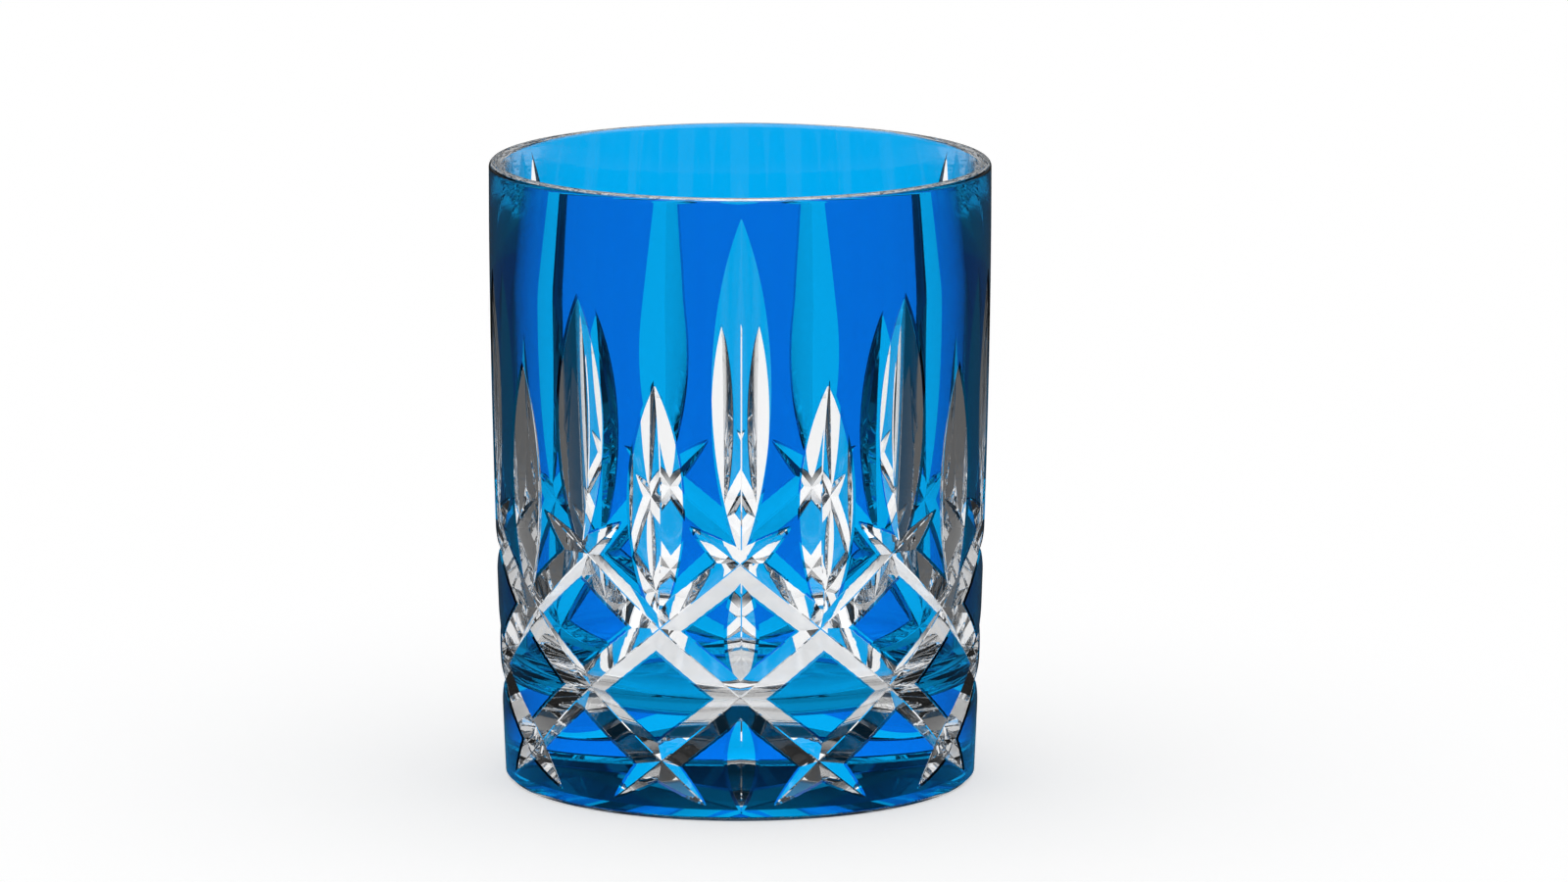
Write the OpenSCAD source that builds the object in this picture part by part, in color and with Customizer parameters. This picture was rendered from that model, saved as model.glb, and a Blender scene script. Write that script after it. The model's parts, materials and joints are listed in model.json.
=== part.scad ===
// Cut whiskey tumbler: a heavy clear body with a thin blue overlay fused to its outside wall.
// The cuts go through the overlay into the clear glass, so they part the overlay into a band
// under the rim, two rows of lozenges and a band round the foot.
// Origin at the centre of the rest face, +Z up, -Y is the front. Millimetres and degrees.

/* [Tumbler] */
// Height from the rest face to the top of the rim
height = 102; // [92:1:120]
// Outside diameter at the rim
rim_d = 82; // [74:1:98]
// How much narrower the foot is than the rim, in diameter
foot_taper = 4.9; // [2:0.1:8]
// Length below the rim over which the wall is straight
straight_drop = 8; // [4:1:20]
// Power of the curve that the wall follows from the straight part to the foot
taper_curve = 1.7; // [1.2:0.1:2.5]
// Bevel round the outside of the foot
foot_bevel = 0.8; // [0.3:0.1:2]

/* [Bowl] */
// Wall at the rim, overlay included
rim_wall = 2; // [1.6:0.1:3]
// Wall below the lip's taper, overlay included
wall_t = 3.9; // [3.4:0.1:5]
// Length below the rim over which the wall thickens
lip_run = 17; // [8:1:24]
// Thickness of the base under the bowl
base_t = 16; // [8:0.5:22]
// Diameter of the flat floor of the bowl
floor_d = 54; // [44:1:56]
// Radius between the floor and the wall of the bowl
bowl_corner_r = 8; // [4:0.5:12]
// Diameter of the hollow in the underside
underside_d = 66; // [50:1:68]
// Depth of the hollow in the underside
underside_depth = 0.8; // [0.3:0.1:2]

/* [Overlay] */
// Thickness of the blue overlay
overlay_t = 0.25; // [0.15:0.05:0.8]

/* [Crossed cuts] */
// Height of the uppermost row of crossings
top_row_z = 42.2; // [40:0.1:48]
// Drop from one row of crossings to the next
row_drop = 11; // [9:0.1:11.6]
// Depth of a crossed cut
groove_depth = 1.9; // [1.2:0.1:2.4]
// Half of a crossed cut's width
groove_half_w = 3; // [2:0.1:3.4]
// How far a crossed cut runs past the last crossing, as an angle round the wall
groove_tip = 12; // [9:0.5:14]

/* [Leaf cuts] */
// Depth of a leaf cut
leaf_depth = 2.5; // [1.5:0.1:2.7]
// Half of a leaf cut's width
leaf_half_w = 5.4; // [4:0.1:5.8]
// Distance from the rim to the tip of a long leaf
long_leaf_drop = 2; // [1.2:0.1:10]
// Distance from the rim to the tip of a middle leaf
middle_leaf_drop = 16.8; // [12:0.1:30]
// Distance from the rim to the tip of a short leaf
short_leaf_drop = 29.8; // [24:0.1:40]
// Half of a small lens cut's width
lens_half_w = 3; // [2:0.1:3.5]
// Depth of a small lens cut
lens_depth = 1.1; // [0.6:0.1:1.6]
// Height of the lower lens cut's lower tip
lens_foot_z = 1.4; // [1:0.1:3]

/* [Hidden] */

clear_glass = [0.85, 0.92, 0.96, 0.5];
blue_glass = [0.05, 0.45, 0.90];

columns = 9;                          // columns of lozenges, each named in NODES
front = -90;                          // direction of column 1, seen from above
pitch = 360 / columns;                // from one column to the next
half_pitch = pitch / 2;
leaf_group = 3;                       // every third column has a long leaf and lens cuts
cut_over = 1.5;                       // how far a cutter stands out of the wall
tip_lift = 0.1;                       // how far a crossed cut's end stands off the wall
tip_steps = 4;                        // straight lengths in the run-out of a crossed cut
groove_step = 10;                     // angle of one straight length of a crossed cut
cut_play = 0.3;                       // how far an upright cut stands off its column, by hand
underside_slope = 12;                 // slope of the edge of the hollow in the underside
tip_curve = 0.75;                     // power of the run-out of a crossed cut
wall_steps = 6;                       // cones that make up the curved wall
corner_steps = 9;                     // cones in the rounded corner of the bowl
side_steps = 4;                       // cones in the side of the bowl
lip_steps = 6;                        // cones in the taper of the lip
smooth = 180;                         // facets of a turned shape in the preview
wheel_smooth = 720;                   // the same for the wide cutting wheels

rim_r = rim_d / 2;
straight_z = height - straight_drop;
rim_round = rim_wall / 2;
lip_z = height - rim_round;
row_a = top_row_z;
row_b = row_a - row_drop;
row_c = row_b - row_drop;
row_d = row_c - row_drop;
lean_angle = atan2(row_drop, (wall_r(row_b) - groove_depth) * half_pitch * PI / 180);

// Outside radius of the wall at a height.
function wall_r(z) =
    rim_r - foot_taper / 2 * pow(max(0, 1 - z / straight_z), taper_curve);

// Outside outline of the wall from the foot to the rim, moved in by a thickness.
function wall_line(inset, low, high) = [
    [wall_r(0) - inset, low],
    for (i = [0:wall_steps]) [wall_r(i * straight_z / wall_steps) - inset, i * straight_z / wall_steps],
    [rim_r - inset, high]
];

// Inside radius of the bowl's wall at a height.
function bowl_r(z) =
    wall_r(z) - wall_t + (wall_t - rim_wall) * pow(max(0, 1 - (lip_z - z) / lip_run), 2);

// ---------------------------------------------------------------- turned outlines

module bowl_outline() {
    low = base_t + bowl_corner_r;
    polygon(concat(
        [[0, base_t], [floor_d / 2, base_t]],
        [for (i = [1:corner_steps])
            let (a = i * 90 / corner_steps)
            [floor_d / 2 + (bowl_r(low) - floor_d / 2) * sin(a), low - bowl_corner_r * cos(a)]],
        [for (i = [1:side_steps]) let (z = low + (lip_z - lip_run - low) * i / side_steps) [bowl_r(z), z]],
        [for (i = [1:lip_steps]) let (z = lip_z - lip_run * (1 - i / lip_steps)) [bowl_r(z), z]],
        [[rim_r - rim_wall, height + 1], [0, height + 1]]));
}

module underside_outline() {
    r = underside_d / 2;
    slope = underside_depth / tan(underside_slope);
    polygon([[0, -1], [r, -1], [r, 0], [r - slope, underside_depth], [0, underside_depth]]);
}

// The whole wall and base, body and overlay together.
module glass_outline() {
    difference() {
        polygon(concat(
            [[0, 0], [wall_r(0) - foot_bevel, 0], [wall_r(foot_bevel), foot_bevel]],
            [for (i = [1:wall_steps]) [wall_r(i * straight_z / wall_steps), i * straight_z / wall_steps]],
            [[rim_r, height - rim_round], [0, height - rim_round]]));
        bowl_outline();
        underside_outline();
    }
    translate([rim_r - rim_round, height - rim_round]) circle(r = rim_round, $fn = smooth);
}

// Everything outside the face on which the overlay is fused to the body.
module overlay_zone() {
    polygon(concat(wall_line(overlay_t, -1, height + 1), [[rim_d, height + 1], [rim_d, -1]]));
}

// ---------------------------------------------------------------- cutters

// Depth of a crossed cut, by the angle turned from its first crossing.
function groove_depth_at(turn) =
    let (past = max(0, -turn, turn - 3 * half_pitch) / groove_tip)
    (groove_depth + tip_lift) * pow(1 - past, tip_curve) - tip_lift;

// The three corners of a crossed cut's section: its bottom and its two outer edges.
function groove_section(start, lean, turn) =
    let (a = front + start + lean * turn,
         z = row_a - turn * row_drop / half_pitch,
         out = [cos(a), sin(a), 0],
         side = lean * sin(lean_angle) * [-sin(a), cos(a), 0] + [0, 0, cos(lean_angle)],
         deep = groove_depth_at(turn),
         spread = (deep + cut_over) * groove_half_w / groove_depth,
         base = wall_r(z) * out + [0, 0, z])
    [base - deep * out, base + cut_over * out + spread * side, base + cut_over * out - spread * side];

// One crossed cut. lean is 1 for a cut that runs down to the right and -1 to the left.
module groove(column, lean) {
    turns = [
        for (i = [tip_steps:-1:1]) -i * groove_tip / tip_steps,
        for (t = [0:groove_step:3 * half_pitch]) t,
        for (i = [1:tip_steps]) 3 * half_pitch + i * groove_tip / tip_steps
    ];
    last = len(turns) - 1;
    points = [for (t = turns) each groove_section(column * pitch, lean, t)];
    sides = [
        for (i = [0:last - 1], k = [0:2])
            let (a = 3 * i + k, b = 3 * i + (k + 1) % 3)
            each [[a, b + 3, b], [a, a + 3, b + 3]]
    ];
    faces = concat([[0, 1, 2]], sides, [[3 * last + 2, 3 * last + 1, 3 * last]]);
    polyhedron(points, lean > 0 ? faces : [for (f = faces) [f.z, f.y, f.x]]);
}

// A cut made by a V-edged wheel held upright, from one height to another.
module wheel_cut(turn, low, high, half_w, depth) {
    foot = [wall_r(low), low];
    head = [wall_r(high), high];
    chord = norm(head - foot);
    wheel_r = (pow(chord / 2, 2) + pow(depth, 2)) / (2 * depth);
    out = [head.y - foot.y, foot.x - head.x] / chord;
    hub = (foot + head) / 2 + (wheel_r - depth) * out;
    edge = depth + cut_over;
    rotate(front + turn + cut_play) translate([hub.x, 0, hub.y]) rotate([90, 0, 0])
        rotate_extrude($fn = wheel_smooth)
            polygon([[wheel_r, 0], [wheel_r - edge, edge * half_w / depth],
                     [wheel_r - edge, -edge * half_w / depth]]);
}

module column_leaf(column) {
    drop = column % leaf_group == 0 ? long_leaf_drop : middle_leaf_drop;
    wheel_cut(column * pitch, row_a, height - drop, leaf_half_w, leaf_depth);
}

module short_leaf(column) {
    wheel_cut((column + 0.5) * pitch, row_b, height - short_leaf_drop, leaf_half_w, leaf_depth);
}

module upper_lens(column) {
    wheel_cut(column * pitch, row_c, row_a, lens_half_w, lens_depth);
}

module lower_lens(column) {
    wheel_cut(column * pitch, lens_foot_z, row_c - lens_foot_z, lens_half_w, lens_depth);
}

module all_grooves() {
    for (column = [0:columns - 1], lean = [-1, 1]) groove(column, lean);
}

module all_leaves() {
    for (column = [0:columns - 1]) {
        column_leaf(column);
        short_leaf(column);
    }
}

// ---------------------------------------------------------------- places on the wall

// A block standing out of the wall with its corners at four crossings.
module lozenge_place(turn, z) {
    reach = wall_r(z) * sin(half_pitch);
    rotate(front + turn) translate([rim_r / 2, 0, z]) rotate([90, 0, 90])
        linear_extrude(rim_r) polygon([[reach, 0], [0, row_drop], [-reach, 0], [0, -row_drop]]);
}

// One half of the space round a column, to its left (-1) or its right (1).
module side_place(turn, side) {
    rotate(front + turn) translate([0, side > 0 ? 0 : -rim_d, -1]) cube([rim_d, rim_d, height + 2]);
}

module overlay_shell() {
    rotate_extrude($fn = smooth) intersection() {
        glass_outline();
        overlay_zone();
    }
}

// ---------------------------------------------------------------- sub-parts

module crystal_body() {
    color(clear_glass) difference() {
        rotate_extrude($fn = smooth) difference() {
            glass_outline();
            overlay_zone();
        }
        all_grooves();
        all_leaves();
        for (column = [0:leaf_group:columns - 1]) {
            upper_lens(column);
            lower_lens(column);
        }
    }
}

module upper_overlay() {
    color(blue_glass) difference() {
        overlay_shell();
        translate([0, 0, row_b - height]) cylinder(r = rim_d, h = height);
        for (column = [0:columns - 1]) lozenge_place(column * pitch, row_b);
        all_grooves();
        all_leaves();
    }
}

module base_overlay() {
    color(blue_glass) difference() {
        overlay_shell();
        translate([0, 0, row_c]) cylinder(r = rim_d, h = height);
        for (column = [0:columns - 1]) lozenge_place((column + 0.5) * pitch, row_c);
        all_grooves();
        for (column = [0:leaf_group:columns - 1]) lower_lens(column);
    }
}

module upper_lozenge(column) {
    color(blue_glass) difference() {
        intersection() {
            overlay_shell();
            lozenge_place(column * pitch, row_b);
        }
        groove(column, 1);
        groove(column, -1);
        groove(column - 1, 1);
        groove(column + 1, -1);
    }
}

module upper_lozenge_half(column, side) {
    color(blue_glass) difference() {
        intersection() {
            overlay_shell();
            lozenge_place(column * pitch, row_b);
            side_place(column * pitch, side);
        }
        groove(column, side);
        groove(column + side, -side);
        upper_lens(column);
    }
}

module lower_lozenge(column) {
    color(blue_glass) difference() {
        intersection() {
            overlay_shell();
            lozenge_place((column + 0.5) * pitch, row_c);
        }
        groove(column, 1);
        groove(column + 1, -1);
        groove(column - 1, 1);
        groove(column + 2, -1);
        short_leaf(column);
    }
}

crystal_body();
upper_overlay();
base_overlay();
for (i = [1:columns]) {
    union() {
        if ((i - 1) % leaf_group > 0) upper_lozenge(i - 1);
    }
    union() {
        if ((i - 1) % leaf_group == 0) upper_lozenge_half(i - 1, -1);
    }
    union() {
        if ((i - 1) % leaf_group == 0) upper_lozenge_half(i - 1, 1);
    }
    lower_lozenge(i - 1);
}
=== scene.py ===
"""Looks of a cut whiskey tumbler: a clear crystal body with a thin blue overlay on its outside.

The body and the overlay are turned from their outlines, every wheel cut is made by a cutter of
the wheel's own shape, and the cut overlay falls apart into its bands and lozenges.
Metres, origin at the centre of the rest face, +Z up, -Y to the front.
"""

import json
import math

import bmesh
import bpy
from bpy.props import FloatProperty, FloatVectorProperty, PointerProperty
from mathutils import Matrix, Vector

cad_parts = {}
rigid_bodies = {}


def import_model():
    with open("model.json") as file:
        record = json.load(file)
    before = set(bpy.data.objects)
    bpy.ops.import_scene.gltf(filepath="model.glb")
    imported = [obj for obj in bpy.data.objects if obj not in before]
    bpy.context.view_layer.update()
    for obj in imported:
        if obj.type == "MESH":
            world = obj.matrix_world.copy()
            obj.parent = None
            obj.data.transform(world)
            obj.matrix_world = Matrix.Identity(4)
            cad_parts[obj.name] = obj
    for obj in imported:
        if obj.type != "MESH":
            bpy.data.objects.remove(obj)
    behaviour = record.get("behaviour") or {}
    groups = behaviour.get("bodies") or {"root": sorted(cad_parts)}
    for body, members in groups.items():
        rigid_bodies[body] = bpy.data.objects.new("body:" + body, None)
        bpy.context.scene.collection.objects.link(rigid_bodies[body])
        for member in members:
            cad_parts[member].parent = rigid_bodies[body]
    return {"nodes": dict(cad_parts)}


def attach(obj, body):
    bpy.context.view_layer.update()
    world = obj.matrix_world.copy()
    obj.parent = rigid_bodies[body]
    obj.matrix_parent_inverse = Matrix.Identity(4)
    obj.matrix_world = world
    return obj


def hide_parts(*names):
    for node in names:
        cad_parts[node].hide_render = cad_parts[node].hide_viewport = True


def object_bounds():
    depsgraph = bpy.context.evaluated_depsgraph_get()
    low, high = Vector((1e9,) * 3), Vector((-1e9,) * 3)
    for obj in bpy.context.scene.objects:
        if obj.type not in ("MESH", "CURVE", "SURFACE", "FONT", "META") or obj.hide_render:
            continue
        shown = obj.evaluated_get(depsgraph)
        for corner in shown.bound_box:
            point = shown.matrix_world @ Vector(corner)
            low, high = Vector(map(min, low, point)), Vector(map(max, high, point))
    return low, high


bl_info = {
    "name": "Cut Overlay Tumbler",
    "version": (1, 0, 0),
    "blender": (4, 5, 0),
    "location": "3D View > Sidebar > Tumbler",
    "description": "Builds a cut crystal tumbler with a blue overlay, its stage and its light",
    "category": "Object",
}

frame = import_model()
CAD_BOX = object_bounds()

MM = 0.001
MERGE = 1e-7

# Columns of cuts round the wall, in degrees. Every third column has a long leaf and small lens cuts.
COLUMNS = 9
PITCH = 360 / COLUMNS
HALF_PITCH = PITCH / 2
FRONT = -90.0
LEAF_GROUP = 3
CUT_PLAY = 0.3

# How finely the glass is turned, in steps round it, up its wall and through its bends
SPIN_STEPS = 360
WALL_STEPS = 34
BEND_STEPS = 20
RIM_STEPS = 16
RIM_SKIN_STEPS = 6
SLOPE_STEP = 0.2 * MM
UNDERSIDE_SLOPE = 12.0
FUSED_GAP = 0.01 * MM
UPRIGHT = 0.9
SHARP_ANGLE = 8.0
LEAST_FACES = 20

# How a wheel's sweep is made: how far it stands out of the glass, and its steps
CUT_OVER = 1.5 * MM
WHEEL_REACH = 1.25
WHEEL_STEP = 0.5
LEAST_WHEEL_STEPS = 16

# How a crossed cut is made: it runs through four rows of crossings, and rises out at both ends
GROOVE_RUN = 3 * HALF_PITCH
GROOVE_STEP = 2.0
TIP_STEPS = 10
TIP_LIFT = 0.1 * MM
TIP_CURVE = 0.75

# Finish of the glass: how far its tint drifts, and how rough its polishing marks are
CRYSTAL_DRIFT = 0.01
BLUE_DRIFT = 0.03
TURNED_MARKS = 0.008
CUT_MARKS = 0.012
DRIFT_SCALE = 45.0
DRIFT_DETAIL = 3.0
MARK_SCALE = 900.0
MARK_DETAIL = 4.0
MARK_RANGE = (0.45, 0.75)

# Strength of the room's light by the height of the direction it comes from: seen straight or
# through the glass, after a reflection inside the glass, and mirrored on the glass's outside
ROOM_STRAIGHT = [(-1.0, 0.5), (-0.04, 0.5), (0.0, 1.0), (0.14, 1.0), (0.2, 0.06), (0.6, 0.06),
                 (0.7, 1.0), (1.0, 1.0)]
ROOM_BOUNCED = [(-1.0, 0.1), (0.08, 0.1), (0.12, 0.02), (0.5, 0.02), (0.58, 0.8), (1.0, 0.8)]
ROOM_MIRRORED = [(-1.0, 0.05), (-0.04, 0.05), (0.0, 0.12), (0.1, 0.12), (0.16, 0.02), (0.6, 0.02),
                 (0.7, 0.9), (1.0, 0.9)]
ROOM_LEVEL = 1.15

# The floor's share of its colour and its glow in the same three cases, its glow to the camera last,
# and a painted pool of light round the glass's foot, seen only through the glass, standing in for the light
# the real glass passes on, with the radii it fades between
FLOOR_SHARE = (1.0, 0.12, 0.06)
FLOOR_GLOW = (0.52, 0.05, 0.0, 0.42)
PAINTED_POOL_GLOW = (0.8, 0.6)
PAINTED_POOL_SPREAD = (0.045, 0.075)
FLOOR_CELLS = 8

# Light paths that are long enough for the many faces of the cuts
LIGHT_BOUNCES = 32
FUSED_CROSSINGS = 96

SENSOR_WIDTH = 36.0
NEAREST_SEEN = 0.05

# Sockets of a colour Mix node
MIX_FACTOR, MIX_A, MIX_B, MIX_RESULT = 0, 6, 7, 2

# Slots of a glass piece's mesh
OPEN_FACE, FUSED_FACE, CUT_FACE = 0, 1, 2


# ---------------------------------------------------------------- settings


class TumblerSizes(bpy.types.PropertyGroup):
    """Sizes of the turned glass."""

    height: FloatProperty(name="Height", description="From the rest face to the top of the rim",
                          default=CAD_BOX[1][2] - CAD_BOX[0][2], unit="LENGTH")
    rim_radius: FloatProperty(name="Rim radius", description="Outside radius at the rim",
                              default=CAD_BOX[1][0], unit="LENGTH")
    foot_taper: FloatProperty(name="Foot taper", description="How much narrower the foot is, in diameter",
                              default=0.0049, unit="LENGTH")
    straight_drop: FloatProperty(name="Straight part", description="Length below the rim that is straight",
                                 default=0.008, unit="LENGTH")
    taper_curve: FloatProperty(name="Taper curve", description="Power of the curve down to the foot",
                               default=1.7)
    foot_bevel: FloatProperty(name="Foot bevel", description="Bevel round the outside of the foot",
                              default=0.0008, unit="LENGTH")
    rim_wall: FloatProperty(name="Rim wall", description="Wall at the rim, overlay included",
                            default=0.002, unit="LENGTH")
    wall: FloatProperty(name="Wall", description="Wall below the lip's taper, overlay included",
                        default=0.0039, unit="LENGTH")
    lip_run: FloatProperty(name="Lip run", description="Length below the rim over which the wall thickens",
                           default=0.017, unit="LENGTH")
    base: FloatProperty(name="Base", description="Thickness of the base under the bowl",
                        default=0.016, unit="LENGTH")
    floor_radius: FloatProperty(name="Floor radius", description="Radius of the flat floor of the bowl",
                                default=0.027, unit="LENGTH")
    corner_radius: FloatProperty(name="Corner radius", description="Radius between floor and wall",
                                 default=0.008, unit="LENGTH")
    underside_radius: FloatProperty(name="Underside radius", description="Radius of the hollow underneath",
                                    default=0.033, unit="LENGTH")
    underside_depth: FloatProperty(name="Underside depth", description="Depth of the hollow underneath",
                                   default=0.0008, unit="LENGTH")
    overlay: FloatProperty(name="Overlay", description="Thickness of the blue overlay",
                           default=0.00025, unit="LENGTH")


class TumblerCuts(bpy.types.PropertyGroup):
    """Sizes and places of the wheel cuts."""

    top_row: FloatProperty(name="Top row", description="Height of the uppermost row of crossings",
                           default=0.0422, unit="LENGTH")
    row_drop: FloatProperty(name="Row drop", description="Drop from one row of crossings to the next",
                            default=0.011, unit="LENGTH")
    groove_depth: FloatProperty(name="Groove depth", description="Depth of a crossed cut",
                                default=0.0019, unit="LENGTH")
    groove_half: FloatProperty(name="Groove half width", description="Half of a crossed cut's width",
                               default=0.003, unit="LENGTH")
    groove_tip: FloatProperty(name="Groove tip", description="Run of a crossed cut past its last crossing",
                              default=math.radians(12), subtype="ANGLE")
    leaf_depth: FloatProperty(name="Leaf depth", description="Depth of a leaf cut",
                              default=0.0025, unit="LENGTH")
    leaf_half: FloatProperty(name="Leaf half width", description="Half of a leaf cut's width",
                             default=0.0054, unit="LENGTH")
    long_drop: FloatProperty(name="Long leaf drop", description="From the rim to a long leaf's tip",
                             default=0.002, unit="LENGTH")
    middle_drop: FloatProperty(name="Middle leaf drop", description="From the rim to a middle leaf's tip",
                               default=0.0168, unit="LENGTH")
    short_drop: FloatProperty(name="Short leaf drop", description="From the rim to a short leaf's tip",
                              default=0.0298, unit="LENGTH")
    lens_half: FloatProperty(name="Lens half width", description="Half of a small lens cut's width",
                             default=0.003, unit="LENGTH")
    lens_depth: FloatProperty(name="Lens depth", description="Depth of a small lens cut",
                              default=0.0011, unit="LENGTH")
    lens_foot: FloatProperty(name="Lens foot", description="Height of the lower lens cut's lower tip",
                             default=0.0014, unit="LENGTH")
    blunt: FloatProperty(name="Wheel edge", description="Width of the blunt edge of a cutting wheel",
                         default=0.00022, unit="LENGTH")


class TumblerColours(bpy.types.PropertyGroup):
    """Colours and finish of the glass."""

    blue_skin: FloatVectorProperty(name="Blue skin", description="Tint of the overlay's outer face",
                                   default=(0.0004, 0.44, 0.95), subtype="COLOR", size=3)
    blue_depth: FloatVectorProperty(name="Blue depth", description="Tint of the overlay's inner face",
                                    default=(0.02, 0.66, 0.98), subtype="COLOR", size=3)
    crystal: FloatVectorProperty(name="Crystal", description="Tint of the clear body",
                                 default=(0.995, 0.998, 1.0), subtype="COLOR", size=3)
    bend: FloatProperty(name="Refraction", description="How strongly the glass bends light",
                        default=1.54)


class TumblerStage(bpy.types.PropertyGroup):
    """Floor, light and camera."""

    floor_size: FloatProperty(name="Floor size", description="Side of the floor", default=6.0, unit="LENGTH")
    floor_colour: FloatVectorProperty(name="Floor colour", description="Colour of the floor",
                                      default=(0.80, 0.80, 0.80), subtype="COLOR", size=3)
    lens: FloatProperty(name="Lens", description="Focal length of the camera", default=228.4,
                        subtype="DISTANCE_CAMERA", unit="CAMERA")
    distance: FloatProperty(name="Distance", description="From the glass's axis to the camera",
                            default=1.6035, unit="LENGTH")
    camera_height: FloatProperty(name="Camera height", description="Of the lens above the floor",
                                 default=0.3505, unit="LENGTH")
    camera_pitch: FloatProperty(name="Camera pitch", description="How far the camera looks down",
                                default=math.radians(10.43), subtype="ANGLE")
    sideways: FloatProperty(name="Sideways shift", description="Shift of the lens that frames the glass",
                            default=0.028)


# ---------------------------------------------------------------- outlines


def wall_radius(sizes, z):
    """Outside radius of the wall at a height."""
    straight = sizes.height - sizes.straight_drop
    fall = max(0.0, 1 - z / straight) ** sizes.taper_curve
    return sizes.rim_radius - sizes.foot_taper / 2 * fall


def wall_slope(radius, sizes, z):
    """How much an outline's radius grows for each metre up."""
    rise = radius(sizes, z + SLOPE_STEP) - radius(sizes, z - SLOPE_STEP)
    return rise / (2 * SLOPE_STEP)


def arc(centre, radius, start, end, steps):
    """Points on an arc in the outline plane, angles in degrees."""
    points = []
    for i in range(steps + 1):
        a = math.radians(start + (end - start) * i / steps)
        points.append((centre[0] + radius * math.cos(a), centre[1] + radius * math.sin(a)))
    return points


def bowl_radius(sizes, z):
    """Inside radius of the bowl's wall at a height, which grows towards the lip."""
    lip = sizes.height - sizes.rim_wall / 2
    taper = max(0.0, 1 - (lip - z) / sizes.lip_run) ** 2
    return wall_radius(sizes, z) - sizes.wall + (sizes.wall - sizes.rim_wall) * taper


def wall_heights(low, high):
    """Heights from one end of a wall to the other."""
    return [low + (high - low) * i / WALL_STEPS for i in range(WALL_STEPS + 1)]


def body_outline(sizes):
    """The clear body from the middle of its underside round to the middle of the bowl's floor."""
    skin = sizes.overlay + FUSED_GAP
    rise = sizes.underside_depth
    slope = rise / math.tan(math.radians(UNDERSIDE_SLOPE))
    foot = wall_radius(sizes, 0) - sizes.foot_bevel
    low = skin_foot(sizes, skin)
    round_r = sizes.rim_wall / 2
    lip = sizes.height - round_r
    points = [(0.0, rise), (sizes.underside_radius - slope, rise), (sizes.underside_radius, 0.0), (foot, 0.0)]
    points += [(wall_radius(sizes, z) - skin, z) for z in wall_heights(low, lip)]
    points += arc((sizes.rim_radius - round_r, lip), round_r, skin_top(sizes, skin), 180, RIM_STEPS)
    low = sizes.base + sizes.corner_radius
    points += [(bowl_radius(sizes, z), z) for z in reversed(wall_heights(low, lip)[:-1])]
    width = bowl_radius(sizes, low) - sizes.floor_radius
    for i in range(1, BEND_STEPS + 1):
        a = math.radians(90 * i / BEND_STEPS)
        points.append((sizes.floor_radius + width * math.cos(a), low - sizes.corner_radius * math.sin(a)))
    return points + [(0.0, sizes.base)]


def skin_foot(sizes, skin):
    """Height at which the foot's bevel meets a face that lies a skin's thickness inside the wall."""
    return sizes.foot_bevel - (skin - (wall_radius(sizes, sizes.foot_bevel) - wall_radius(sizes, 0)))


def skin_top(sizes, skin):
    """Angle on the rim's rounding at which it meets a face a skin's thickness inside the wall."""
    round_r = sizes.rim_wall / 2
    return math.degrees(math.acos((round_r - skin) / round_r))


def shell_outline(sizes):
    """The overlay before it is cut, as a closed outline, its outside first."""
    skin = sizes.overlay
    round_r = sizes.rim_wall / 2
    low = skin_foot(sizes, skin)
    lip = sizes.height - round_r
    points = [(wall_radius(sizes, low) - skin, low)]
    points += [(wall_radius(sizes, z), z) for z in wall_heights(sizes.foot_bevel, lip)]
    points += arc((sizes.rim_radius - round_r, lip), round_r, 0, skin_top(sizes, skin), RIM_SKIN_STEPS)[1:]
    points += [(wall_radius(sizes, z) - skin, z) for z in reversed(wall_heights(low, lip)[1:])]
    return points


# ---------------------------------------------------------------- bmesh work


def mesh_of(name, bm):
    """The bmesh's shape as a mesh. The bmesh is freed."""
    mesh = bpy.data.meshes.new(name)
    bm.to_mesh(mesh)
    bm.free()
    return mesh


def turned_mesh(name, outline, closed, fused_side):
    """A mesh turned from an outline round the glass's axis. The upright faces that look
    outwards (1) or inwards (-1) are the ones on which body and overlay are fused."""
    bm = bmesh.new()
    verts = [bm.verts.new((r, 0.0, z)) for r, z in outline]
    edges = [bm.edges.new((verts[i], verts[i + 1])) for i in range(len(verts) - 1)]
    if closed:
        edges.append(bm.edges.new((verts[-1], verts[0])))
    bmesh.ops.spin(bm, geom=verts + edges, cent=(0, 0, 0), axis=(0, 0, 1), angle=2 * math.pi,
                   steps=SPIN_STEPS, use_merge=True, use_duplicate=False)
    bmesh.ops.remove_doubles(bm, verts=bm.verts, dist=MERGE)
    bmesh.ops.recalc_face_normals(bm, faces=bm.faces)
    for face in bm.faces:
        centre = face.calc_center_median()
        around = Vector((centre.x, centre.y, 0)).normalized()
        upright = face.normal.dot(around) * fused_side
        face.material_index = FUSED_FACE if upright > UPRIGHT else OPEN_FACE
    return mesh_of(name, bm)


def cutter_object(name, bm, group):
    """A cutter in the group, made from the bmesh, whose faces mark the faces that they cut."""
    bmesh.ops.recalc_face_normals(bm, faces=bm.faces)
    for face in bm.faces:
        face.material_index = CUT_FACE
        face.smooth = True
    cutter = bpy.data.objects.new(name, mesh_of(name, bm))
    group.objects.link(cutter)
    return cutter


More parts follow.
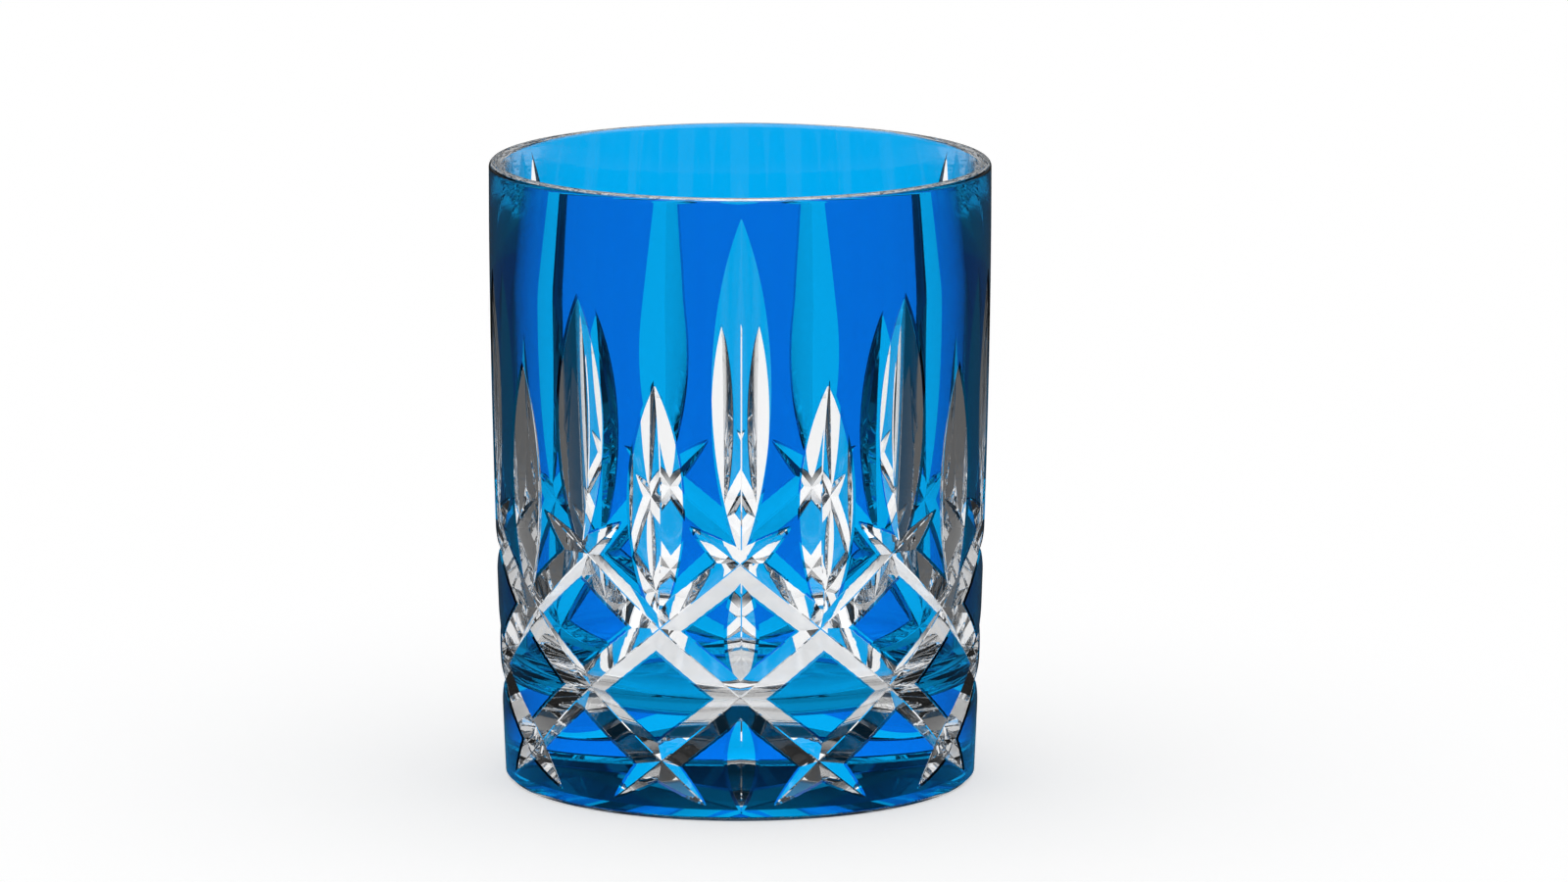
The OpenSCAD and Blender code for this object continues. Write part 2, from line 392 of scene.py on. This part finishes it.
def wheel_cutter(name, group, sizes, blunt, turn, low, high, half, depth):
    """The space that a V-edged wheel sweeps, held upright, from one height to another."""
    foot = Vector((wall_radius(sizes, low), 0, low))
    head = Vector((wall_radius(sizes, high), 0, high))
    chord = (head - foot).length
    wheel = ((chord / 2) ** 2 + depth ** 2) / (2 * depth)
    out = Vector((head.z - foot.z, 0, foot.x - head.x)) / chord
    hub = (foot + head) / 2 + (wheel - depth) * out
    edge = depth + CUT_OVER
    spread = edge * half / depth
    reach = math.asin(chord / 2 / wheel) * WHEEL_REACH
    steps = max(LEAST_WHEEL_STEPS, int(math.degrees(2 * reach) / WHEEL_STEP))
    bm = bmesh.new()
    section = [(wheel, blunt / 2), (wheel, -blunt / 2), (wheel - edge, -spread), (wheel - edge, spread)]
    verts = [bm.verts.new(hub - r * out + Vector((0, t, 0))) for r, t in section]
    face = bm.faces.new(verts)
    bmesh.ops.rotate(bm, verts=verts, cent=hub, matrix=Matrix.Rotation(-reach, 3, "Y"))
    bmesh.ops.spin(bm, geom=[face] + list(face.edges) + verts, cent=hub, axis=(0, 1, 0),
                   angle=2 * reach, steps=steps, use_duplicate=False)
    bmesh.ops.remove_doubles(bm, verts=bm.verts, dist=MERGE)
    bmesh.ops.rotate(bm, verts=bm.verts, cent=(0, 0, 0),
                     matrix=Matrix.Rotation(math.radians(FRONT + turn + CUT_PLAY), 3, "Z"))
    return cutter_object(name, bm, group)


def groove_cutter(name, group, sizes, cuts, column, lean):
    """One crossed cut. lean is 1 for a cut that runs down to the right and -1 to the left."""
    tip = math.degrees(cuts.groove_tip)
    mean_r = wall_radius(sizes, cuts.top_row - cuts.row_drop) - cuts.groove_depth
    lean_angle = math.atan2(cuts.row_drop, mean_r * math.radians(HALF_PITCH))

    def section(turn):
        """The corners of the cut's section at a turn from its first crossing."""
        a = math.radians(FRONT + column * PITCH + lean * turn)
        z = cuts.top_row - turn * cuts.row_drop / HALF_PITCH
        out = Vector((math.cos(a), math.sin(a), 0))
        side = lean * math.sin(lean_angle) * Vector((-math.sin(a), math.cos(a), 0))
        side += math.cos(lean_angle) * Vector((0, 0, 1))
        past = max(0.0, -turn, turn - GROOVE_RUN) / tip
        deep = (cuts.groove_depth + TIP_LIFT) * max(0.0, 1 - past) ** TIP_CURVE - TIP_LIFT
        spread = (deep + CUT_OVER) * cuts.groove_half / cuts.groove_depth
        base = wall_radius(sizes, z) * out + Vector((0, 0, z))
        bottom = base - deep * out
        top = base + CUT_OVER * out
        return [bottom + side * cuts.blunt / 2, bottom - side * cuts.blunt / 2,
                top - side * spread, top + side * spread]

    turns = [-tip * (1 - (i / TIP_STEPS) ** 2) for i in range(TIP_STEPS)]
    turns += [i * GROOVE_STEP for i in range(round(GROOVE_RUN / GROOVE_STEP) + 1)]
    turns += [GROOVE_RUN + tip * (1 - (1 - i / TIP_STEPS) ** 2) for i in range(1, TIP_STEPS + 1)]
    bm = bmesh.new()
    places = section(turns[0])
    verts = [bm.verts.new(p) for p in places]
    ring = list(bm.faces.new(verts).edges)
    for turn in turns[1:]:
        before, places = places, section(turn)
        made = bmesh.ops.extrude_edge_only(bm, edges=ring)["geom"]
        ring = [g for g in made if isinstance(g, bmesh.types.BMEdge)]
        verts = [g for g in made if isinstance(g, bmesh.types.BMVert)]
        ring = [e for e in ring if all(v in verts for v in e.verts)]
        for vert in verts:
            corner = min(range(len(before)), key=lambda k: (before[k] - vert.co).length)
            vert.co = places[corner]
    bmesh.ops.contextual_create(bm, geom=ring)
    return cutter_object(name, bm, group)


def cut_mesh(mesh, sizes, cuts):
    """The mesh after every wheel cut has been made in it."""
    for kind in (OPEN_FACE, FUSED_FACE, CUT_FACE):
        mesh.materials.append(bpy.data.materials.new(f"kind_{kind}"))
    group = all_cutters(sizes, cuts)
    blank = bpy.data.objects.new(mesh.name + "_blank", mesh)
    bpy.context.scene.collection.objects.link(blank)
    boolean = blank.modifiers.new("wheel cuts", "BOOLEAN")
    boolean.operation = "DIFFERENCE"
    boolean.operand_type = "COLLECTION"
    boolean.collection = group
    boolean.solver = "MANIFOLD"
    boolean.material_mode = "INDEX"
    bpy.context.view_layer.update()
    graph = bpy.context.evaluated_depsgraph_get()
    made = bpy.data.meshes.new_from_object(blank.evaluated_get(graph))
    bpy.data.objects.remove(blank)
    drop_cutters(group)
    if len(made.polygons) <= len(mesh.polygons) // 2:
        raise RuntimeError(f"the wheel cuts left nothing of {mesh.name}")
    return made


def all_cutters(sizes, cuts):
    """A collection with the cutter of every wheel cut."""
    group = bpy.data.collections.new("wheel_cutters")
    bpy.context.scene.collection.children.link(group)
    row_a = cuts.top_row
    row_b = row_a - cuts.row_drop
    row_c = row_b - cuts.row_drop
    for column in range(COLUMNS):
        for lean in (1, -1):
            groove_cutter(f"groove_{column}_{lean}", group, sizes, cuts, column, lean)
        long_leaf = column % LEAF_GROUP == 0
        drop = cuts.long_drop if long_leaf else cuts.middle_drop
        turn = column * PITCH
        wheel_cutter(f"leaf_{column}", group, sizes, cuts.blunt, turn, row_a, sizes.height - drop,
                     cuts.leaf_half, cuts.leaf_depth)
        wheel_cutter(f"short_leaf_{column}", group, sizes, cuts.blunt, turn + HALF_PITCH, row_b,
                     sizes.height - cuts.short_drop, cuts.leaf_half, cuts.leaf_depth)
        if long_leaf:
            wheel_cutter(f"upper_lens_{column}", group, sizes, cuts.blunt, turn, row_c, row_a,
                         cuts.lens_half, cuts.lens_depth)
            wheel_cutter(f"lower_lens_{column}", group, sizes, cuts.blunt, turn, cuts.lens_foot,
                         row_c - cuts.lens_foot, cuts.lens_half, cuts.lens_depth)
    return group


def drop_cutters(group):
    """Remove the cutters and their collection."""
    for cutter in list(group.objects):
        mesh = cutter.data
        bpy.data.objects.remove(cutter)
        bpy.data.meshes.remove(mesh)
    bpy.data.collections.remove(group)


def polish(mesh, sizes):
    """Smooth shading within each cut, turned normals on the turned faces, crisp edges between."""
    for poly in mesh.polygons:
        poly.use_smooth = True
    mesh.set_sharp_from_angle(angle=math.radians(SHARP_ANGLE))
    normals = [Vector(n.vector) for n in mesh.corner_normals]
    bend = sizes.base + sizes.corner_radius
    lip = sizes.height - sizes.rim_wall / 2
    for poly in mesh.polygons:
        around = Vector((poly.center.x, poly.center.y, 0)).normalized()
        facing = around.dot(poly.normal)
        if poly.material_index == CUT_FACE or abs(facing) < UPRIGHT or poly.center.z > lip:
            continue
        inside = facing < 0 and poly.material_index == OPEN_FACE
        if inside and poly.center.z < bend or poly.center.z < sizes.foot_bevel:
            continue
        outline = bowl_radius if inside else wall_radius
        for loop in poly.loop_indices:
            co = mesh.vertices[mesh.loops[loop].vertex_index].co
            out = Vector((co.x, co.y, 0)).normalized() - Vector((0, 0, wall_slope(outline, sizes, co.z)))
            normals[loop] = out.normalized() * math.copysign(1, facing)
    mesh.normals_split_custom_set(normals)


# ---------------------------------------------------------------- finishes


def finish_nodes(name):
    """An empty node material, its nodes and its links."""
    material = bpy.data.materials.new(name)
    material.use_nodes = True
    nodes = material.node_tree.nodes
    nodes.clear()
    return material, nodes, material.node_tree.links


def glass_finish(name, colour, bend, variation, roughness):
    """Polished glass whose tint drifts a little, with the faint marks that a polishing wheel leaves."""
    material, nodes, links = finish_nodes(name)
    out = nodes.new("ShaderNodeOutputMaterial")
    glass = nodes.new("ShaderNodeBsdfPrincipled")
    glass.inputs["Transmission Weight"].default_value = 1.0
    glass.inputs["IOR"].default_value = bend
    place = nodes.new("ShaderNodeTexCoord")
    drift = nodes.new("ShaderNodeTexNoise")
    drift.inputs["Scale"].default_value = DRIFT_SCALE
    drift.inputs["Detail"].default_value = DRIFT_DETAIL
    links.new(place.outputs["Object"], drift.inputs["Vector"])
    tint = nodes.new("ShaderNodeMix")
    tint.data_type = "RGBA"
    tint.inputs["A"].default_value = (*[c * (1 - variation) for c in colour], 1)
    tint.inputs["B"].default_value = (*colour, 1)
    links.new(drift.outputs["Fac"], tint.inputs["Factor"])
    links.new(tint.outputs["Result"], glass.inputs["Base Color"])
    marks = nodes.new("ShaderNodeTexNoise")
    marks.inputs["Scale"].default_value = MARK_SCALE
    marks.inputs["Detail"].default_value = MARK_DETAIL
    links.new(place.outputs["Object"], marks.inputs["Vector"])
    shine = nodes.new("ShaderNodeMapRange")
    shine.inputs["From Min"].default_value, shine.inputs["From Max"].default_value = MARK_RANGE
    shine.inputs["To Min"].default_value = 0.0
    shine.inputs["To Max"].default_value = roughness
    links.new(marks.outputs["Fac"], shine.inputs["Value"])
    links.new(shine.outputs["Result"], glass.inputs["Roughness"])
    links.new(glass.outputs["BSDF"], out.inputs["Surface"])
    return material


def fused_finish(name, colour):
    """The face on which overlay and body are fused: light goes straight through it and is tinted."""
    material, nodes, links = finish_nodes(name)
    out = nodes.new("ShaderNodeOutputMaterial")
    through = nodes.new("ShaderNodeBsdfTransparent")
    through.inputs["Color"].default_value = (*colour, 1)
    links.new(through.outputs["BSDF"], out.inputs["Surface"])
    return material


# ---------------------------------------------------------------- pieces


def overlay_name(mesh, sizes, cuts):
    """The CAD node that a piece of the cut overlay stands for, and the piece's own name."""
    low = min(v.co.z for v in mesh.vertices)
    high = max(v.co.z for v in mesh.vertices)
    if high > sizes.height - sizes.rim_wall:
        return "upper_overlay", "blue_rim_band"
    if low < sizes.foot_bevel:
        return "base_overlay", "blue_foot_band"
    centre = sum((v.co for v in mesh.vertices), Vector()) / len(mesh.vertices)
    turn = (math.degrees(math.atan2(centre.y, centre.x)) - FRONT) % 360
    if (low + high) / 2 > cuts.top_row - 1.5 * cuts.row_drop:
        column = round(turn / PITCH) % COLUMNS
        node = f"upper_lozenge_{column + 1}"
        if column % LEAF_GROUP == 0:
            node += "_right" if (turn - column * PITCH + 180) % 360 > 180 else "_left"
    else:
        column = round((turn - HALF_PITCH) / PITCH) % COLUMNS
        node = f"lower_lozenge_{column + 1}"
    return node, "blue_" + node


def loose_parts(mesh):
    """The mesh's separate pieces, each as a mesh of its own, in the order of their first faces."""
    bm = bmesh.new()
    bm.from_mesh(mesh)
    left = set(bm.faces)
    groups = []
    for start in bm.faces:
        if start not in left:
            continue
        left.remove(start)
        group, reached = [start.index], [start]
        while reached:
            for edge in reached.pop().edges:
                for face in edge.link_faces:
                    if face in left:
                        left.remove(face)
                        group.append(face.index)
                        reached.append(face)
        groups.append(group)
    bm.free()
    parts = []
    for group in groups:
        keep = set(group)
        bm = bmesh.new()
        bm.from_mesh(mesh)
        bm.faces.ensure_lookup_table()
        bmesh.ops.delete(bm, geom=[f for f in bm.faces if f.index not in keep], context="FACES")
        parts.append(mesh_of("overlay_part", bm))
    return parts


def settle(name, mesh, node, materials):
    """The finished piece, riding on the glass in place of its CAD node."""
    mesh.name = name
    mesh.materials.clear()
    for material in materials:
        mesh.materials.append(material)
    piece = bpy.data.objects.new(name, mesh)
    bpy.context.scene.collection.objects.link(piece)
    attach(piece, "root")
    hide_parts(node)


class TUMBLER_OT_body(bpy.types.Operator):
    """Turn the clear body and make every wheel cut in it"""

    bl_idname = "tumbler.body"
    bl_label = "Clear body"

    def execute(self, context):
        sizes, cuts = context.scene.tumbler_sizes, context.scene.tumbler_cuts
        colours = context.scene.tumbler_colours
        mesh = cut_mesh(turned_mesh("body", body_outline(sizes), False, 1), sizes, cuts)
        polish(mesh, sizes)
        crystal = tuple(colours.crystal)
        settle("crystal_glass_body", mesh, "crystal_body", [
            glass_finish("turned_crystal", crystal, colours.bend, CRYSTAL_DRIFT, TURNED_MARKS),
            fused_finish("fused_crystal", (1, 1, 1)),
            glass_finish("cut_crystal", crystal, colours.bend, CRYSTAL_DRIFT, CUT_MARKS)])
        return {"FINISHED"}


class TUMBLER_OT_overlay(bpy.types.Operator):
    """Turn the blue overlay, cut it through and part it into its bands and lozenges"""

    bl_idname = "tumbler.overlay"
    bl_label = "Blue overlay"

    def execute(self, context):
        sizes, cuts = context.scene.tumbler_sizes, context.scene.tumbler_cuts
        colours = context.scene.tumbler_colours
        mesh = cut_mesh(turned_mesh("overlay", shell_outline(sizes), True, -1), sizes, cuts)
        skin, depth = tuple(colours.blue_skin), tuple(colours.blue_depth)
        materials = [
            glass_finish("blue_outside", skin, colours.bend, BLUE_DRIFT, TURNED_MARKS),
            fused_finish("blue_fused", depth),
            glass_finish("blue_cut_edge", skin, colours.bend, BLUE_DRIFT, CUT_MARKS)]
        done = set()
        for part in loose_parts(mesh):
            if len(part.polygons) < LEAST_FACES:
                raise RuntimeError("the cuts left a stray sliver of overlay")
            node, name = overlay_name(part, sizes, cuts)
            if node in done:
                raise RuntimeError(f"two pieces of overlay stand for {node}")
            done.add(node)
            polish(part, sizes)
            settle(name, part, node, materials)
        missing = [n for n in frame["nodes"] if n != "crystal_body" and n not in done]
        if missing:
            raise RuntimeError(f"no piece of overlay stands for {missing}")
        return {"FINISHED"}


class TUMBLER_OT_stage(bpy.types.Operator):
    """Lay the floor and set up the light and the camera"""

    bl_idname = "tumbler.stage"
    bl_label = "Floor, light and camera"

    def execute(self, context):
        settings = context.scene.tumbler_stage
        lay_floor(settings)
        light_room()
        place_camera(context, settings)
        return {"FINISHED"}


def by_path(nodes, links, path, tones):
    """The tone for the light's path. In order, the tones are for light seen straight, after a
    reflection inside the glass, mirrored on its outside, and, where a fourth is given, seen by
    the camera."""
    mirrored = nodes.new("ShaderNodeMath")
    mirrored.operation = "SUBTRACT"
    links.new(path.outputs["Is Glossy Ray"], mirrored.inputs[0])
    links.new(path.outputs["Is Transmission Ray"], mirrored.inputs[1])
    chosen = tones[0]
    for tone, when in zip(tones[1:], (path.outputs["Glossy Depth"], mirrored.outputs[0],
                                      path.outputs["Is Camera Ray"])):
        pick = nodes.new("ShaderNodeMix")
        pick.data_type = "RGBA"
        links.new(when, pick.inputs[MIX_FACTOR])
        for value, socket in ((chosen, pick.inputs[MIX_A]), (tone, pick.inputs[MIX_B])):
            if isinstance(value, tuple):
                socket.default_value = value
            else:
                links.new(value, socket)
        chosen = pick.outputs[MIX_RESULT]
    return chosen


def lay_floor(settings):
    """A plain pale floor that keeps the glass's shadow, with a painted pool of light round the glass's foot
    that is seen only through the glass.
    """
    bm = bmesh.new()
    bmesh.ops.create_grid(bm, x_segments=FLOOR_CELLS, y_segments=FLOOR_CELLS,
                          size=settings.floor_size / 2)
    mesh = mesh_of("floor", bm)
    floor = bpy.data.objects.new("floor", mesh)
    bpy.context.scene.collection.objects.link(floor)
    material, nodes, links = finish_nodes("pale_floor")
    out = nodes.new("ShaderNodeOutputMaterial")
    path = nodes.new("ShaderNodeLightPath")
    lit = nodes.new("ShaderNodeBsdfDiffuse")
    tones = [(*(c * share for c in settings.floor_colour), 1) for share in FLOOR_SHARE]
    links.new(by_path(nodes, links, path, tones), lit.inputs["Color"])
    glow = nodes.new("ShaderNodeEmission")
    tones = [(level, level, level, 1) for level in FLOOR_GLOW]
    place = nodes.new("ShaderNodeTexCoord")
    reach = nodes.new("ShaderNodeVectorMath")
    reach.operation = "LENGTH"
    links.new(place.outputs["Object"], reach.inputs[0])
    # Painted pool of light: the floor's glow seen through the glass is raised towards the glass's axis,
    # though no lamp lights the floor there
    for index, level in enumerate(PAINTED_POOL_GLOW):
        pool_level = nodes.new("ShaderNodeMapRange")
        pool_level.interpolation_type = "SMOOTHSTEP"
        pool_level.inputs["From Min"].default_value, pool_level.inputs["From Max"].default_value = PAINTED_POOL_SPREAD
        pool_level.inputs["To Min"].default_value = level
        pool_level.inputs["To Max"].default_value = FLOOR_GLOW[index]
        links.new(reach.outputs["Value"], pool_level.inputs["Value"])
        tones[index] = pool_level.outputs["Result"]
    links.new(by_path(nodes, links, path, tones), glow.inputs["Color"])
    seen = nodes.new("ShaderNodeMath")
    seen.operation = "MAXIMUM"
    links.new(path.outputs["Is Camera Ray"], seen.inputs[0])
    links.new(path.outputs["Is Transmission Ray"], seen.inputs[1])
    links.new(seen.outputs[0], glow.inputs["Strength"])
    both = nodes.new("ShaderNodeAddShader")
    links.new(lit.outputs[0], both.inputs[0])
    links.new(glow.outputs[0], both.inputs[1])
    links.new(both.outputs[0], out.inputs["Surface"])
    mesh.materials.append(material)


def ramp_node(nodes, stops):
    """A colour ramp of greys from (position, value) pairs."""
    ramp = nodes.new("ShaderNodeValToRGB")
    elements = ramp.color_ramp.elements
    elements[0].position, elements[1].position = stops[0][0], stops[-1][0]
    for position, _ in stops[1:-1]:
        elements.new(position)
    for element, (_, value) in zip(elements, stops):
        element.color = (value, value, value, 1)
    return ramp


def light_room():
    """A pale room, the same all round, lit by a bright band at the horizon and a panel above."""
    world = bpy.data.worlds.new("studio")
    bpy.context.scene.world = world
    world.use_nodes = True
    nodes, links = world.node_tree.nodes, world.node_tree.links
    nodes.clear()
    out = nodes.new("ShaderNodeOutputWorld")
    place = nodes.new("ShaderNodeTexCoord")
    parts = nodes.new("ShaderNodeSeparateXYZ")
    links.new(place.outputs["Generated"], parts.inputs[0])
    place_on_ramp = nodes.new("ShaderNodeMapRange")
    place_on_ramp.inputs["From Min"].default_value = -1.0
    links.new(parts.outputs["Z"], place_on_ramp.inputs["Value"])
    path = nodes.new("ShaderNodeLightPath")
    levels = []
    for stops in (ROOM_STRAIGHT, ROOM_BOUNCED, ROOM_MIRRORED):
        height = ramp_node(nodes, [((z + 1) / 2, level) for z, level in stops])
        links.new(place_on_ramp.outputs["Result"], height.inputs["Fac"])
        levels.append(height.outputs["Color"])
    light = by_path(nodes, links, path, levels)
    room = nodes.new("ShaderNodeBackground")
    room.inputs["Strength"].default_value = ROOM_LEVEL
    links.new(light, room.inputs["Color"])
    white = nodes.new("ShaderNodeBackground")
    mix = nodes.new("ShaderNodeMixShader")
    links.new(path.outputs["Is Camera Ray"], mix.inputs["Fac"])
    links.new(room.outputs[0], mix.inputs[1])
    links.new(white.outputs[0], mix.inputs[2])
    links.new(mix.outputs[0], out.inputs["Surface"])


def place_camera(context, settings):
    """The camera, in front of the glass and a little above it."""
    data = bpy.data.cameras.new("camera")
    data.lens = settings.lens
    data.sensor_width = SENSOR_WIDTH
    data.shift_x = settings.sideways
    data.clip_start = NEAREST_SEEN
    camera = bpy.data.objects.new("camera", data)
    camera.location = (0, -settings.distance, settings.camera_height)
    camera.rotation_euler = (math.pi / 2 - settings.camera_pitch, 0, 0)
    context.scene.collection.objects.link(camera)
    context.scene.camera = camera


class TUMBLER_PT_panel(bpy.types.Panel):
    """Settings and steps of the tumbler"""

    bl_idname = "TUMBLER_PT_panel"
    bl_label = "Tumbler"
    bl_space_type = "VIEW_3D"
    bl_region_type = "UI"
    bl_category = "Tumbler"

    def draw(self, context):
        for group in SETTINGS:
            for key in SETTINGS[group].__annotations__:
                self.layout.prop(getattr(context.scene, group), key)
        for step in STEPS:
            self.layout.operator(step.bl_idname)


SETTINGS = {
    "tumbler_sizes": TumblerSizes,
    "tumbler_cuts": TumblerCuts,
    "tumbler_colours": TumblerColours,
    "tumbler_stage": TumblerStage,
}
STEPS = (TUMBLER_OT_body, TUMBLER_OT_overlay, TUMBLER_OT_stage)


def register():
    """Add the settings, the steps and the panel."""
    for name, group in SETTINGS.items():
        bpy.utils.register_class(group)
        setattr(bpy.types.Scene, name, PointerProperty(type=group))
    for cls in STEPS + (TUMBLER_PT_panel,):
        bpy.utils.register_class(cls)


def unregister():
    """Take them away again."""
    for cls in (TUMBLER_PT_panel,) + STEPS:
        bpy.utils.unregister_class(cls)
    for name, group in SETTINGS.items():
        delattr(bpy.types.Scene, name)
        bpy.utils.unregister_class(group)


def main():
    """Build the tumbler and its stage."""
    register()
    scene = bpy.context.scene
    scene.view_settings.view_transform = "Standard"
    scene.cycles.max_bounces = LIGHT_BOUNCES
    scene.cycles.transmission_bounces = LIGHT_BOUNCES
    scene.cycles.glossy_bounces = LIGHT_BOUNCES
    scene.cycles.transparent_max_bounces = FUSED_CROSSINGS
    bpy.ops.tumbler.body()
    bpy.ops.tumbler.overlay()
    bpy.ops.tumbler.stage()


if __name__ == "__main__":
    main()
